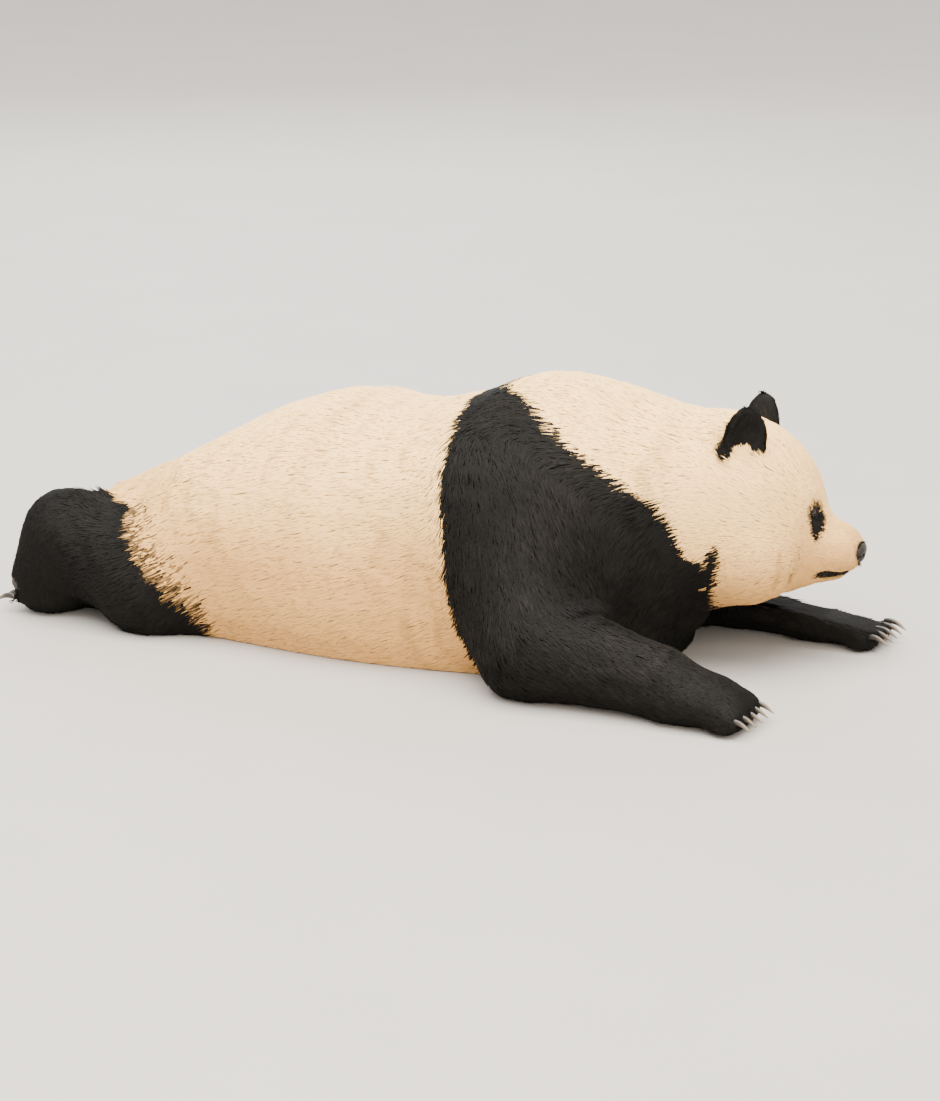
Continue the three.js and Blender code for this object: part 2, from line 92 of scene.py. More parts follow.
class Socket:
    """A node's output. Python's operators on it add Math nodes, so that a formula reads as one."""

    def __init__(self, tree, output):
        self.tree, self.output = tree, output

    def make(self, kind, settings=(), inputs=(), output=0):
        """A node of a kind: its settings first, then a value or link for each named input."""
        node = self.tree.nodes.new(kind)
        for key, value in dict(settings).items():
            setattr(node, key, value)
        for key, value in dict(inputs).items():
            if isinstance(value, Socket):
                self.tree.links.new(value.output, node.inputs[key])
            else:
                node.inputs[key].default_value = value
        return Socket(self.tree, node.outputs[output])

    def maths(self, operation, *values):
        """One Math node on these values."""
        return self.make("ShaderNodeMath", {"operation": operation}, dict(enumerate(values)))

    def __add__(self, other):
        return self.maths("ADD", self, other)

    def __sub__(self, other):
        return self.maths("SUBTRACT", self, other)

    def __rsub__(self, other):
        return self.maths("SUBTRACT", other, self)

    def __mul__(self, other):
        return self.maths("MULTIPLY", self, other)

    __radd__, __rmul__ = __add__, __mul__

    def step(self, low, high):
        """0 below low, 1 above high, smooth between."""
        settings = {"interpolation_type": "SMOOTHSTEP"}
        ends = {"Value": self, "From Min": low, "From Max": high}
        return self.make("ShaderNodeMapRange", settings, ends)

    def mix(self, first, second):
        """The colour first where this is 0, and second where it is 1."""
        settings = {"data_type": "RGBA"}
        return self.make("ShaderNodeMix", settings, {0: self, 6: first, 7: second}, 2)

    def where(self):
        """The place in the object's own metres."""
        return self.make("ShaderNodeTexCoord", (), (), "Object")

    def noise(self, where, scale, detail=2.0):
        """Soft noise from 0 to 1, about 0.5, with this many waves to the metre."""
        return self.make("ShaderNodeTexNoise", (), {"Vector": where, "Scale": scale, "Detail": detail})

    def attribute(self, name):
        """The number that each point of the mesh has under this name."""
        return self.make("ShaderNodeAttribute", {"attribute_name": name}, (), "Fac")

    def bumps(self, strength, height):
        """The surface's normal, bumped by this as a share of a height in metres."""
        facts = {"Height": self, "Strength": strength, "Distance": height}
        return self.make("ShaderNodeBump", (), facts)


def finish_material(name, build, **constants):
    """Material of one Principled shader; build(socket) gives the links of its inputs by name."""
    material = bpy.data.materials.new(name)
    material.use_nodes = True
    tree = material.node_tree
    shader = tree.nodes["Principled BSDF"]
    for key, value in constants.items():
        shader.inputs[key.replace("_", " ")].default_value = value
    for key, value in build(Socket(tree, None)).items():
        tree.links.new(value.output, shader.inputs[key])
    return material


def colour(red, green, blue):
    """A linear colour from the three display values that a paint chart gives, 0 to 255."""
    share = np.array([red, green, blue]) / 255
    linear = np.where(share > 0.04045, ((share + 0.055) / 1.055) ** 2.4, share / 12.92)
    return (*linear.tolist(), 1.0)


def floor_finish(socket):
    where = socket.where()
    grain = socket.noise(where, 3.0, 6.0)
    return {"Base Color": grain.mix(colour(158, 153, 146), colour(166, 161, 154))}


FLOOR_HALF = 120.0
corners = FLOOR_HALF * np.array([[-1, -1, 0], [1, -1, 0], [1, 1, 0], [-1, 1, 0]])
floor = mesh_object("floor", corners, [[0, 1, 2, 3]])
floor.data.materials.append(finish_material("floor_paint", floor_finish, Roughness=0.75))

LIGHTS = {
    # name: place, size, watts, colour
    "sky": ((0.3, -2.0, 8.0), 8.0, 3200, (1.0, 0.97, 0.93)),
    "window": ((3.6, -4.6, 2.6), 3.0, 300, (1.0, 0.93, 0.84)),
    "behind": ((-3.0, 4.2, 3.0), 3.0, 240, (0.97, 0.98, 1.0)),
}
for name, (place, size, power, tint) in LIGHTS.items():
    lamp = bpy.data.lights.new(name, "AREA")
    lamp.size, lamp.energy, lamp.color = size, power, tint
    lamp_object = bpy.data.objects.new(name, lamp)
    towards = Vector(body_middle - place)
    lamp_object.location = place
    lamp_object.rotation_euler = towards.to_track_quat("-Z", "Y").to_euler()
    bpy.context.scene.collection.objects.link(lamp_object)
world = bpy.data.worlds.new("hall")
world.use_nodes = True
walls = world.node_tree.nodes["Background"]
walls.inputs["Color"].default_value = (0.94, 0.93, 0.92, 1)
walls.inputs["Strength"].default_value = 2.0
bpy.context.scene.world = world

# ---------------------------------------------------------------- the head's own axes
# The eyes and the nose fix the skull's place: ahead along the face, left through the eyes, and
# up through the crown. All that is made on the face is placed in these axes.


def middle_of(node):
    low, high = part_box(node)
    return (np.array(low) + np.array(high)) / 2


def unit(vectors):
    length = np.linalg.norm(vectors, axis=-1, keepdims=True)
    return vectors / np.maximum(length, 1e-12)


EYE_AT = np.array([0.116, 0.059, 0.027])  # left eye, ahead, left and up of the skull's middle
NOSE_AT = np.array([0.198, 0.0, -0.030])
between_eyes = (middle_of("eye_left") + middle_of("eye_right")) / 2
left = unit(middle_of("eye_left") - middle_of("eye_right"))
down_face = unit(middle_of("nose") - between_eyes)
off_face = np.cross(down_face, left)
slope = np.arctan2(EYE_AT[2] - NOSE_AT[2], NOSE_AT[0] - EYE_AT[0])
ahead = np.cos(slope) * down_face + np.sin(slope) * off_face
HEAD_AXES = np.array([ahead, left, np.cross(ahead, left)])
skull_middle = between_eyes - np.array([EYE_AT[0], 0, EYE_AT[2]]) @ HEAD_AXES


def to_head(points):
    return (points - skull_middle) @ HEAD_AXES.T


def from_head(points):
    return points @ HEAD_AXES + skull_middle


# ---------------------------------------------------------------- skin
# One hide over the whole animal, from the nose to the tail and the toes. The parts of flesh are
# joined and meshed anew as one closed surface, which is smoothed and then drawn in by the depth
# of the coat over each part. The face is meshed finer, for its lids, its lips and its chin.

VOXEL = 0.0074
SEAM = 0.0006  # each part grows by this, to close the thin cuts
FLESH = sorted(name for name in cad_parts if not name.startswith(("eye", "nose")))

# Coat over each part: its depth over the skin, the length and width of a tuft, the way it lies,
# and rounds of smoothing for the skin under it.
FACTS = ("depth", "length", "width", "lie", "rounds")
COAT = {
    "head": (0.0075, 0.029, 0.0023, (0, 0, 0), 14),
    "jaw": (0.0055, 0.018, 0.0019, (0, 0, 0), 12),
    "neck": (0.0085, 0.047, 0.0028, (-1, 0, -0.35), 50),
    "chest": (0.0085, 0.044, 0.0029, (-0.8, 0, -0.9), 34),
    "belly": (0.0085, 0.050, 0.0029, (-1, 0, -0.35), 84),
    "rump": (0.0090, 0.052, 0.0030, (-1, 0, -0.55), 76),
    "tail": (0.0085, 0.048, 0.0030, (-0.8, 0, -0.6), 10),
    "ear": (0.0045, 0.018, 0.0020, (0, 0, 0), 3),
    "upper_arm": (0.0085, 0.040, 0.0028, (0.3, 0, -1), 34),
    "forearm": (0.008, 0.034, 0.0026, (1, 0, -0.5), 26),
    "forepaw": (0.005, 0.019, 0.0021, (1, 0, -0.25), 5),
    "thigh": (0.0090, 0.046, 0.0029, (-1, 0, -0.6), 34),
    "shank": (0.008, 0.035, 0.0027, (-1, 0, -0.4), 20),
    "hindfoot": (0.006, 0.024, 0.0024, (-0.6, 0, -0.8), 7),
}


CLAW_SINK = 0.040  # the claws' tips drawn back into the toes
CLAW_END = 0.012   # a claw's tip is this near to the paw's far end


def claw_way(node):
    """+1 for a forepaw, whose claws point ahead, and -1 for a hind foot, whose claws point back."""
    return -1 if node.startswith("hind") else 1


def claw_tips(node, place):
    """Which points of a paw are the tips of its claws."""
    if not node.startswith(("forepaw", "hindfoot")):
        return np.zeros(len(place), bool)
    along = place[:, 0] * claw_way(node)
    return along > along.max() - CLAW_END


def column(rows, name, width=3, kind=np.float32):
    """One property of all these rows of a mesh, this many values wide."""
    values = np.empty(width * len(rows), kind)
    rows.foreach_get(name, values)
    return values.reshape(-1, width)


def tips_of(node):
    """The tips of a paw's claws, one row for each."""
    corners = column(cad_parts[node].data.vertices, "co")
    return np.unique(np.round(corners[claw_tips(node, corners)], 4), axis=0).astype(float)


def merged(parts):
    """Several parts as one: their points, their faces, and the rows of all else that they carry."""
    starts = np.cumsum([0] + [len(part[0]) for part in parts[:-1]])
    numbered = [(part[0], part[1] + start, *part[2:]) for part, start in zip(parts, starts)]
    return [np.concatenate(rows) for rows in zip(*numbered)]


def joined(nodes):
    """Points, triangles and the node's number at each point, of all these parts together."""
    parts = []
    for number, node in enumerate(nodes):
        bm = bmesh.new()
        bm.from_mesh(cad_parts[node].data)
        bmesh.ops.remove_doubles(bm, verts=bm.verts, dist=1e-6)
        bmesh.ops.triangulate(bm, faces=bm.faces)
        bm.normal_update()
        copy = bpy.data.meshes.new("copy")
        bm.to_mesh(copy)
        bm.free()
        place = column(copy.vertices, "co") + SEAM * column(copy.vertex_normals, "vector")
        place[claw_tips(node, place), 0] -= CLAW_SINK * claw_way(node)
        faces = column(copy.polygons, "vertices", kind=np.int32)
        parts.append((place, faces, np.full(len(place), number, np.int32)))
        bpy.data.meshes.remove(copy)
    return merged(parts)


points, faces, numbers = joined(FLESH)
skin = mesh_object("skin", points, faces)
skin.data.attributes.new("part", "INT", "POINT").data.foreach_set("value", numbers)
skin.data.remesh_voxel_size = VOXEL
skin.data.use_remesh_fix_poles = False
skin.data.use_remesh_preserve_attributes = True
bpy.context.view_layer.objects.active = skin
bpy.ops.object.voxel_remesh()


def read(mesh):
    """Points, normals and edges of a mesh."""
    place, normal = column(mesh.vertices, "co"), column(mesh.vertex_normals, "vector")
    return place.astype(float), normal.astype(float), column(mesh.edges, "vertices", 2, np.int32)


def write(mesh, place):
    mesh.vertices.foreach_set("co", np.ascontiguousarray(place, np.float32).ravel())
    mesh.update()


def around(values, ends):
    """Mean of each point's neighbours: the sum of v over its edges, divided by their number."""
    values = values.reshape(len(values), -1)
    both = np.concatenate([ends, ends[:, ::-1]])
    count = np.bincount(both[:, 0], minlength=len(values))[:, None]
    total = [np.bincount(both[:, 0], one[both[:, 1]], len(values)) for one in values.T]
    return (np.stack(total, 1) / np.maximum(count, 1)).squeeze()


def spread(values, ends, rounds, share=0.5):
    """values moved by a share towards their neighbours' mean, again and again."""
    for _ in range(rounds):
        values = values + (around(values, ends) - values) * share
    return values


def ramp(value, low, high):
    """0 below low, 1 above high and 3t^2 - 2t^3 between, t the share of the way."""
    t = np.clip((value - low) / (high - low), 0, 1)
    return t * t * (3 - 2 * t)


# The eyes and the mouth, in the head's axes, on the left side.
EYE_RADIUS = 0.0108
EYE_SET_BACK = 0.0105  # the eyeball lies this far behind the socket's middle
GAZE = unit(np.array([0.88, 0.46, -0.05]))
EYE_MIDDLE = EYE_AT - EYE_SET_BACK * GAZE
MOUTH = np.array([
    [0.156, 0.040, -0.083], [0.174, 0.033, -0.077], [0.192, 0.016, -0.066], [0.199, 0, -0.063]])
PARTING = np.array([[0.212, 0, -0.045], [0.200, 0, -0.063]])


def folded(points):
    """Points in the head's axes, with both sides laid on the left one."""
    face = to_head(points)
    face[:, 1] = np.abs(face[:, 1])
    return face


def folded_way(points, ways):
    """Directions at these points in the same axes, turned over with the right side."""
    turned = ways @ HEAD_AXES.T
    turned[:, 1] *= np.where(to_head(points)[:, 1] < 0, -1.0, 1.0)
    return turned


def from_line(points, line, normal=None):
    """Distance of points from a line of straight lengths. With the skin's normals n, an offset o
    from the line counts as o - 0.9 (o . n) n, so that the line need not lie in the skin."""
    near = np.full(len(points), np.inf)
    for start, end in zip(line[:-1], line[1:]):
        share = np.clip((points - start) @ (end - start) / ((end - start) @ (end - start)), 0, 1)
        out = points - start - share[:, None] * (end - start)
        if normal is not None:
            out = out - 0.9 * np.sum(out * normal, axis=1, keepdims=True) * normal
        near = np.minimum(near, np.linalg.norm(out, axis=1))
    return near


def finer(mesh, chosen):
    """Halves the edges whose two ends are chosen."""
    bm = bmesh.new()
    bm.from_mesh(mesh)
    edges = [edge for edge in bm.edges if chosen[edge.verts[0].index] and chosen[edge.verts[1].index]]
    bmesh.ops.subdivide_edges(bm, edges=edges, cuts=1, use_grid_fill=True)
    bm.to_mesh(mesh)
    bm.free()


def parts_like(*words):
    """The numbers of the parts whose names start with one of these words."""
    return [number for number, node in enumerate(FLESH) if node.startswith(words)]


def coat_fact(word):
    """One fact of the coat's table, at each point of the skin."""
    rows = [COAT[node.replace("_right", "").replace("_left", "")] for node in FLESH]
    return np.array([row[FACTS.index(word)] for row in rows], float)[numbers]


place, normal, ends = read(skin.data)
numbers = column(skin.data.attributes["part"].data, "value", 1, np.int32).ravel()
SMOOTH_IN, SMOOTH_OUT = 0.5, 0.53  # a step to the neighbours' mean, and one back
rounds = coat_fact("rounds")
for turn in range(int(rounds.max())):
    working = (rounds > turn)[:, None]
    place = place + working * SMOOTH_IN * (around(place, ends) - place)
    place = place - working * SMOOTH_OUT * (around(place, ends) - place)
write(skin.data, place)

# The face's own mesh: each round halves its squares, ahead of one place and near to the eyes.
# From the second round on, the head is all that lies ahead of HEAD_ROOT.
HEAD_PARTS = parts_like("head", "jaw")
ROUNDS = ((0.085, 0.045), (0.150, 0.030), (1.0, 0.020))  # how far ahead, and how near an eye
HEAD_ROOT = 0.060
JAW_TOP, JAW_ROOT = -0.096, 0.062  # the jaw is below the one and ahead of the other
for ahead_of, near_eye in ROUNDS:
    place, normal, ends = read(skin.data)
    face = folded(place)
    of_head = np.isin(numbers, HEAD_PARTS) if len(numbers) == len(place) else face[:, 0] > HEAD_ROOT
    by_eye = np.linalg.norm(face - EYE_AT, axis=1) < near_eye
    finer(skin.data, of_head & (by_eye | (face[:, 0] > ahead_of)))
place, normal, ends = read(skin.data)
added = folded(place[len(numbers):])
in_jaw = (added[:, 2] < JAW_TOP) & (added[:, 0] > JAW_ROOT)
numbers = np.concatenate([numbers, np.where(in_jaw, HEAD_PARTS[1], HEAD_PARTS[0]).astype(np.int32)])
face = folded(place)


def depth_share(face, headed):
    """The share of a head's full coat left on the face: a ramp from 0.22 at the nose to 1 at 200 mm
    from it, times a ramp from 0.45 at an eye to 1 at 75 mm from it. headed is 1 on the head."""
    nose = ramp(np.linalg.norm(face - NOSE_AT, axis=1), 0.020, 0.200)
    eye = ramp(np.linalg.norm(face - EYE_AT, axis=1), 0.008, 0.075)
    share = (0.22 + 0.78 * nose) * (0.45 + 0.55 * eye)
    return 1 + (share - 1) * headed


PRESSED = 0.006  # the coat's depth where the body lies on it: low down, facing the floor
head_part = np.isin(numbers, HEAD_PARTS)
share = depth_share(face, spread(head_part.astype(float), ends, 6))
under = ramp(-normal[:, 2], 0.55, 0.9) * ramp(0.05 - place[:, 2], 0, 0.03)
depth, length, width = (spread(coat_fact(word), ends, 24) for word in FACTS[:3])
depth = depth * share
length = length * share ** 0.65  # these two shrink less than the depth does
width = width * share ** 0.35
depth = depth + (PRESSED - depth) * under
outward = unit(spread(normal, ends, 4))
place = place - depth[:, None] * outward
place = spread(place, ends, 2, 0.4)

LID_HALF = (0.0074, 0.0052)     # half width and half height between the lids
LID_TILT = np.radians(24)       # the inner corner is lower by this
LID_BALL = EYE_RADIUS + 0.0021  # the lids' outer face, round the eye's middle
SOCKET_EDGE = (0.013, 0.022)    # the filled socket, full and none, from the gaze's line
LID_EDGE = (0.0085, 0.0170)     # the lids, in the same way
LID_RIM = (0.84, 1.04)          # m where the skin comes from behind the eye on to the lid
BEHIND_EYE = 0.78               # of the eye's radius, where the skin inside the lids lies
FAR = 9.0                       # stands for any distance that is out of reach


def lids(face):
    """The skin round the eyeball, in the head's axes, both sides at once, and its m.

    The socket is filled to a level across the gaze, and the skin is then laid on the lids' ball.
    m is the distance from the gaze's line on that ball, in half sizes of the opening: where m < 1
    the skin goes behind the eye."""
    level = unit(np.cross([0, 0, 1], GAZE))
    upright = np.cross(GAZE, level)
    across = np.cos(LID_TILT) * level - np.sin(LID_TILT) * upright
    over = np.cos(LID_TILT) * upright + np.sin(LID_TILT) * level
    out = face - EYE_MIDDLE
    along = out @ GAZE
    off = np.linalg.norm(out - along[:, None] * GAZE, axis=1)
    fill = (1 - ramp(off, *SOCKET_EDGE)) * (along > -0.025)
    out = out + (fill * np.maximum(EYE_SET_BACK - along, 0))[:, None] * GAZE
    ray = unit(out)
    m = LID_BALL * np.hypot(ray @ across / LID_HALF[0], ray @ over / LID_HALF[1])
    m = np.where(out @ GAZE > 0, m, FAR)
    lid = ((1 - ramp(off, *LID_EDGE)) * (out @ GAZE > 0))[:, None]
    out = out + lid * (ray * LID_BALL - out)
    opening = (1 - ramp(m, *LID_RIM))[:, None]
    return EYE_MIDDLE + out + opening * (ray * EYE_RADIUS * BEHIND_EYE - out), m


def bump(face, middle, reach):
    """exp(-(d / reach)^2), d the distance from the middle."""
    return np.exp(-np.sum((face - middle) ** 2, axis=1) / reach**2)


# Swellings and hollows of the face: middle, reach, and height off the skin.
FOLDS = {
    "upper lip": ([0.190, 0.020, -0.052], 0.014, 0.0024),
    "lower lip": ([0.176, 0.020, -0.084], 0.012, 0.0026),
    "brow": ([0.110, 0.052, 0.050], 0.018, 0.0030),
    "inner corner of the eye": ([0.128, 0.034, 0.012], 0.016, -0.0016),
}
# The mouth: each pair is the value at its front and what its corners add.
GROOVE_WIDTH, GROOVE_DEPTH, LIP_HALF = (0.0030, 0.0022), (0.0045, 0.0035), (0.0042, 0.0030)
MOUTH_CORNER = 0.176  # the corners begin behind this and are full 18 mm on
PARTING_WIDTH, PARTING_DEPTH = 0.0024, 0.0020
LOWEST = 0.003  # the skin's lowest place over the floor


def by_corner(pair):
    """The front's value plus the corners' share of the second one."""
    return pair[0] + pair[1] * ramp(MOUTH_CORNER - face[:, 0], 0, 0.018)


write(skin.data, place)
place, normal, ends = read(skin.data)
mirror = np.where(to_head(place)[:, 1] < 0, -1.0, 1.0)
face, inner = folded(place), folded_way(place, normal)
from_mouth = from_line(face, MOUTH, inner)
mouth = np.exp(-((from_mouth / by_corner(GROOVE_WIDTH)) ** 2))
parting = np.exp(-((from_line(face, PARTING, inner) / PARTING_WIDTH) ** 2))
lip = by_corner(LIP_HALF) - from_mouth  # metres inside the dark bare lips
raised = -by_corner(GROOVE_DEPTH) * mouth - PARTING_DEPTH * parting
for middle, reach, height in FOLDS.values():
    raised += height * bump(face, middle, reach)
lidded, opening = lids(face + raised[:, None] * inner)
face = np.where(head_part[:, None], lidded, face)
opening = np.where(head_part, opening, FAR)
face[:, 1] *= mirror
place = from_head(face)
place[:, 2] = np.maximum(place[:, 2], LOWEST)
write(skin.data, place)
place, normal, ends = read(skin.data)

# ---------------------------------------------------------------- markings
# Black ears, eye patches, forelegs and hind legs, and a black band that runs over the shoulders
# between two slanting lines and takes in the chest and the throat. All else is cream.


def egg(points, middle, half):
    """Distance outside an egg, about: (|q| - 1) |q| / |q / half|, q = (p - middle) / half."""
    q = (points - middle) / np.array(half)
    out = np.linalg.norm(q, axis=1)
    return out * (out - 1) / np.maximum(np.linalg.norm(q / np.array(half), axis=1), 1e-9)


# The three slanting lines, and their leans from upright.
BAND_FOOT = np.array([0.106, 0, 0.476])
NECK_FOOT = np.array([0.3475, 0, 0.376])
BAND_LEAN, NECK_LEAN, LEG_LEAN = np.radians(12), np.radians(58), np.radians(48.7)
LEG_EDGE = -0.176                     # along the leg line's normal
LEG_BLEND = 0.10                      # metres that stand for a whole share of the leg
BAND_AHEAD, BAND_BACK = 0.022, 0.012  # its rear line, ahead on the flanks and back low down
BOW = (-0.018, 0.040, 0.060)          # its front line: on top, more at the sides, less ahead

# The head's markings, in its axes. Each egg is its middle and its half sizes.
SKULL = (
    ([-0.017, 0, 0], [0.150, 0.152, 0.150]), ([0.008, 0.084, -0.062], [0.108, 0.082, 0.092]),
    ([0.100, 0, -0.050], [0.125, 0.085, 0.095]),
)
CHEEK_ROOT = -0.013  # behind this the band runs on over the skull
NOTCHES = (
    ([-0.024, 0.160, -0.095], [0.0130, 0.060, 0.046]), ([-0.052, 0.160, -0.106], [0.034, 0.060, 0.027]),
)
PATCH = np.array([0.1225, 0.0570, 0.0090])  # middle of the eye patch
PATCH_HALF, PATCH_TAPER = (0.033, 0.0210), 0.6
PATCH_WAY = unit(np.array([0.27, 0.18, -0.945]))
LASHES = 0.0190                       # all is black this near to an eye
NOSE_ROOM = [0.0158, 0.0278, 0.0198]  # half sizes of the bare skin that the nose pad covers


def slant(lean):
    """The direction that leans up by this from straight ahead."""
    return np.array([np.cos(lean), 0, np.sin(lean)])


def dark_place(points, leg):
    """Metres inside the black markings, less than 0 outside; leg is the share of the hind legs."""
    face = folded(points)
    off_middle = np.abs(points[:, 1] - body_middle[1])
    low = ramp(0.28 - points[:, 2], 0, 0.15)
    band = (points - BAND_FOOT) @ slant(BAND_LEAN)
    band = band - BAND_AHEAD * ramp(off_middle, 0.04, 0.20) + BAND_BACK * low
    bow = BOW[0] + BOW[1] * ramp(off_middle, 0.02, 0.12) - BOW[2] * ramp(points[:, 0], 0.485, 0.56)
    neck = bow - (points - NECK_FOOT) @ slant(NECK_LEAN)
    skull = np.minimum.reduce([egg(face, *shape) for shape in SKULL])
    behind_cheek = np.maximum(skull - 0.004, CHEEK_ROOT - face[:, 0])
    body = np.minimum.reduce([band, neck, behind_cheek])
    notch = np.maximum(*(-egg(face, *hollow) for hollow in NOTCHES))
    out = face - PATCH
    along = out @ PATCH_WAY
    off = np.sqrt(np.maximum(np.sum(out**2, axis=1) - along**2, 0))
    breadth = PATCH_HALF[1] * (1 - PATCH_TAPER * np.clip(along / PATCH_HALF[0], -1, 1))
    patch = PATCH_HALF[1] * (1 - np.hypot(along / PATCH_HALF[0], off / breadth))
    hind = np.minimum(LEG_EDGE - points @ slant(LEG_LEAN), LEG_BLEND * (leg - 0.5))
    lashes = LASHES - np.linalg.norm(face - EYE_AT, axis=1)
    return np.maximum.reduce([body, patch, notch, hind, lashes])


def share_of(words, rounds):
    """1 on the parts whose names start with these words and 0 elsewhere, spread over the joins."""
    return spread(np.isin(numbers, parts_like(*words)).astype(float), ends, rounds)


def put(piece, **facts):
    """Gives each point of a piece one number under each of these names."""
    for name, values in facts.items():
        fact = piece.data.attributes.new(name, "FLOAT", "POINT")
        fact.data.foreach_set("value", np.ascontiguousarray(values, np.float32))


HIND_LEG = ("thigh", "shank", "hindfoot")
leg = share_of(HIND_LEG, 44)
ear = share_of(("ear",), 1)
nose_rim = np.linalg.norm((folded(place) - NOSE_AT) / NOSE_ROOM, axis=1)
dark = np.maximum.reduce([
    ramp(dark_place(place, leg), -0.004, 0.004), ramp(ear, 0.4, 0.6),
    ramp(lip, -0.0032, -0.0018) * head_part, 1 - ramp(nose_rim, 1.05, 1.30),
])
put(skin, dark=dark)

# The unwrap of the hide that the coat's own maps share.
skin.select_set(True)
bpy.ops.object.mode_set(mode="EDIT")
bpy.ops.mesh.select_all(action="SELECT")
bpy.ops.uv.smart_project(angle_limit=np.radians(66), island_margin=0.001)
bpy.ops.object.mode_set(mode="OBJECT")
skin.data.uv_layers[0].name = "OFBake"

# The second cream is the darker, warmer one lower on the body: partly tan staining, partly painted
# shade.
CREAM, CREAM_LOW_STAIN_AND_SHADE, CREAM_WORN = colour(248, 202, 130), colour(206, 154, 88), colour(204, 160, 104)
HIDE_CREAM, HIDE_PALE = colour(248, 213, 154), colour(251, 225, 176)
BLACK, BLACK_WORN = colour(15, 14, 12), colour(40, 36, 31)


def skin_finish(socket):
    where = socket.where()
    grain = socket.noise(where, 160.0, 4.0)
    cream = socket.noise(where, 9.0).step(0.35, 0.65).mix(HIDE_CREAM, HIDE_PALE)
    black = grain.mix(BLACK, BLACK_WORN)
    shade = socket.attribute("dark").mix(cream, black)
    return {"Base Color": shade, "Normal": grain.bumps(0.35, 0.001)}


skin.data.materials.append(finish_material("hide", skin_finish, Roughness=0.8, Specular_IOR_Level=0.15))
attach(skin, "root")
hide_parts(*FLESH)

# ---------------------------------------------------------------- pads
# The soles of the hind feet, which stand on their toes with the sole behind: a round pad of dark
# leather over each claw, and one wide pad across the sole. Each is a low dome laid on the skin.

TOE_PAD = (0.0105, 0.0125, 0.0085)  # half width, half height and how far it stands out
PALM_PAD = (0.0400, 0.0150, 0.0090)
TOE_PAD_OVER, PALM_PAD_OVER = 0.038, 0.080    # over the tips of the claws
TOES_IN = 0.92                                # of the claws' spread across the foot
ARCH, ARCH_HALF = 0.010, 0.05                 # how high the pads' row bows up, and its half width
PAD_SINK, PAD_UNDER = 0.002, 0.003            # how far its rim is in the skin, and its back from that
BARE_OVER = 0.004                             # bare skin over each pad
BEHIND_ALL = -1.2                             # a place behind the whole animal
FOOT_LENGTH, FOOT_HALF = 0.12, 0.11           # the sole's skin is within these of the claws
SOLE_OVER, SOLE_HALF = 0.062, [0.075, 0.055]  # its middle over the claws, and its half sizes
PAD_RINGS, PAD_SIDES = 12, 28
SOLES = {node: tips_of(node) for node in FLESH if node.startswith("hindfoot")}


def ball_grid(rings, sides):
    """Unit rays to a closed ball's grid: rings round X from its + to its - end, then the two ends."""
    away = np.repeat(np.linspace(0, np.pi, rings + 1)[1:-1], sides)
    turn = np.tile(np.arange(sides) * 2 * np.pi / sides, rings - 1)
    away, turn = np.append(away, [0, np.pi]), np.append(turn, [0, 0])
    return np.stack([np.cos(away), np.sin(away) * np.cos(turn), np.sin(away) * np.sin(turn)], axis=1)


def ball_faces(rings, sides):
    """Triangles of that grid, facing out, closed at both poles."""
    ring = np.arange(sides)
    after = (ring + 1) % sides
    low, last = (sides * np.arange(rings - 2))[:, None], sides * (rings - 2)
    a, b, c, d = low + ring, low + after, low + sides + after, low + sides + ring
    walls = [np.stack(three, -1).reshape(-1, 3) for three in ((a, d, b), (b, d, c))]
    near = np.stack([np.full(sides, last + sides), ring, after], axis=1)
    far = np.stack([np.full(sides, last + sides + 1), last + after, last + ring], axis=1)
    return np.concatenate([near, *walls, far])


def pads_of(node):
    """Across and up of the middle of each pad of a foot, with its half sizes."""
    tips = SOLES[node]
    low = tips[:, 2].min()
    middle = tips[:, 1].mean()
    arch = ARCH * (1 - ((tips[:, 1] - middle) / ARCH_HALF) ** 2)
    spread_out = middle + TOES_IN * (tips[:, 1] - middle)
    toes = [(across, low + TOE_PAD_OVER + rise, TOE_PAD) for across, rise in zip(spread_out, arch)]
    return toes + [(middle, low + PALM_PAD_OVER, PALM_PAD)]


def sole_finish(socket):
    where = socket.where()
    pebble = socket.make("ShaderNodeTexVoronoi", (), {"Vector": where, "Scale": 500.0})
    leather = socket.noise(where, 60.0).mix(colour(40, 35, 32), colour(62, 54, 48))
    return {"Base Color": leather, "Normal": pebble.bumps(0.6, 0.0008)}


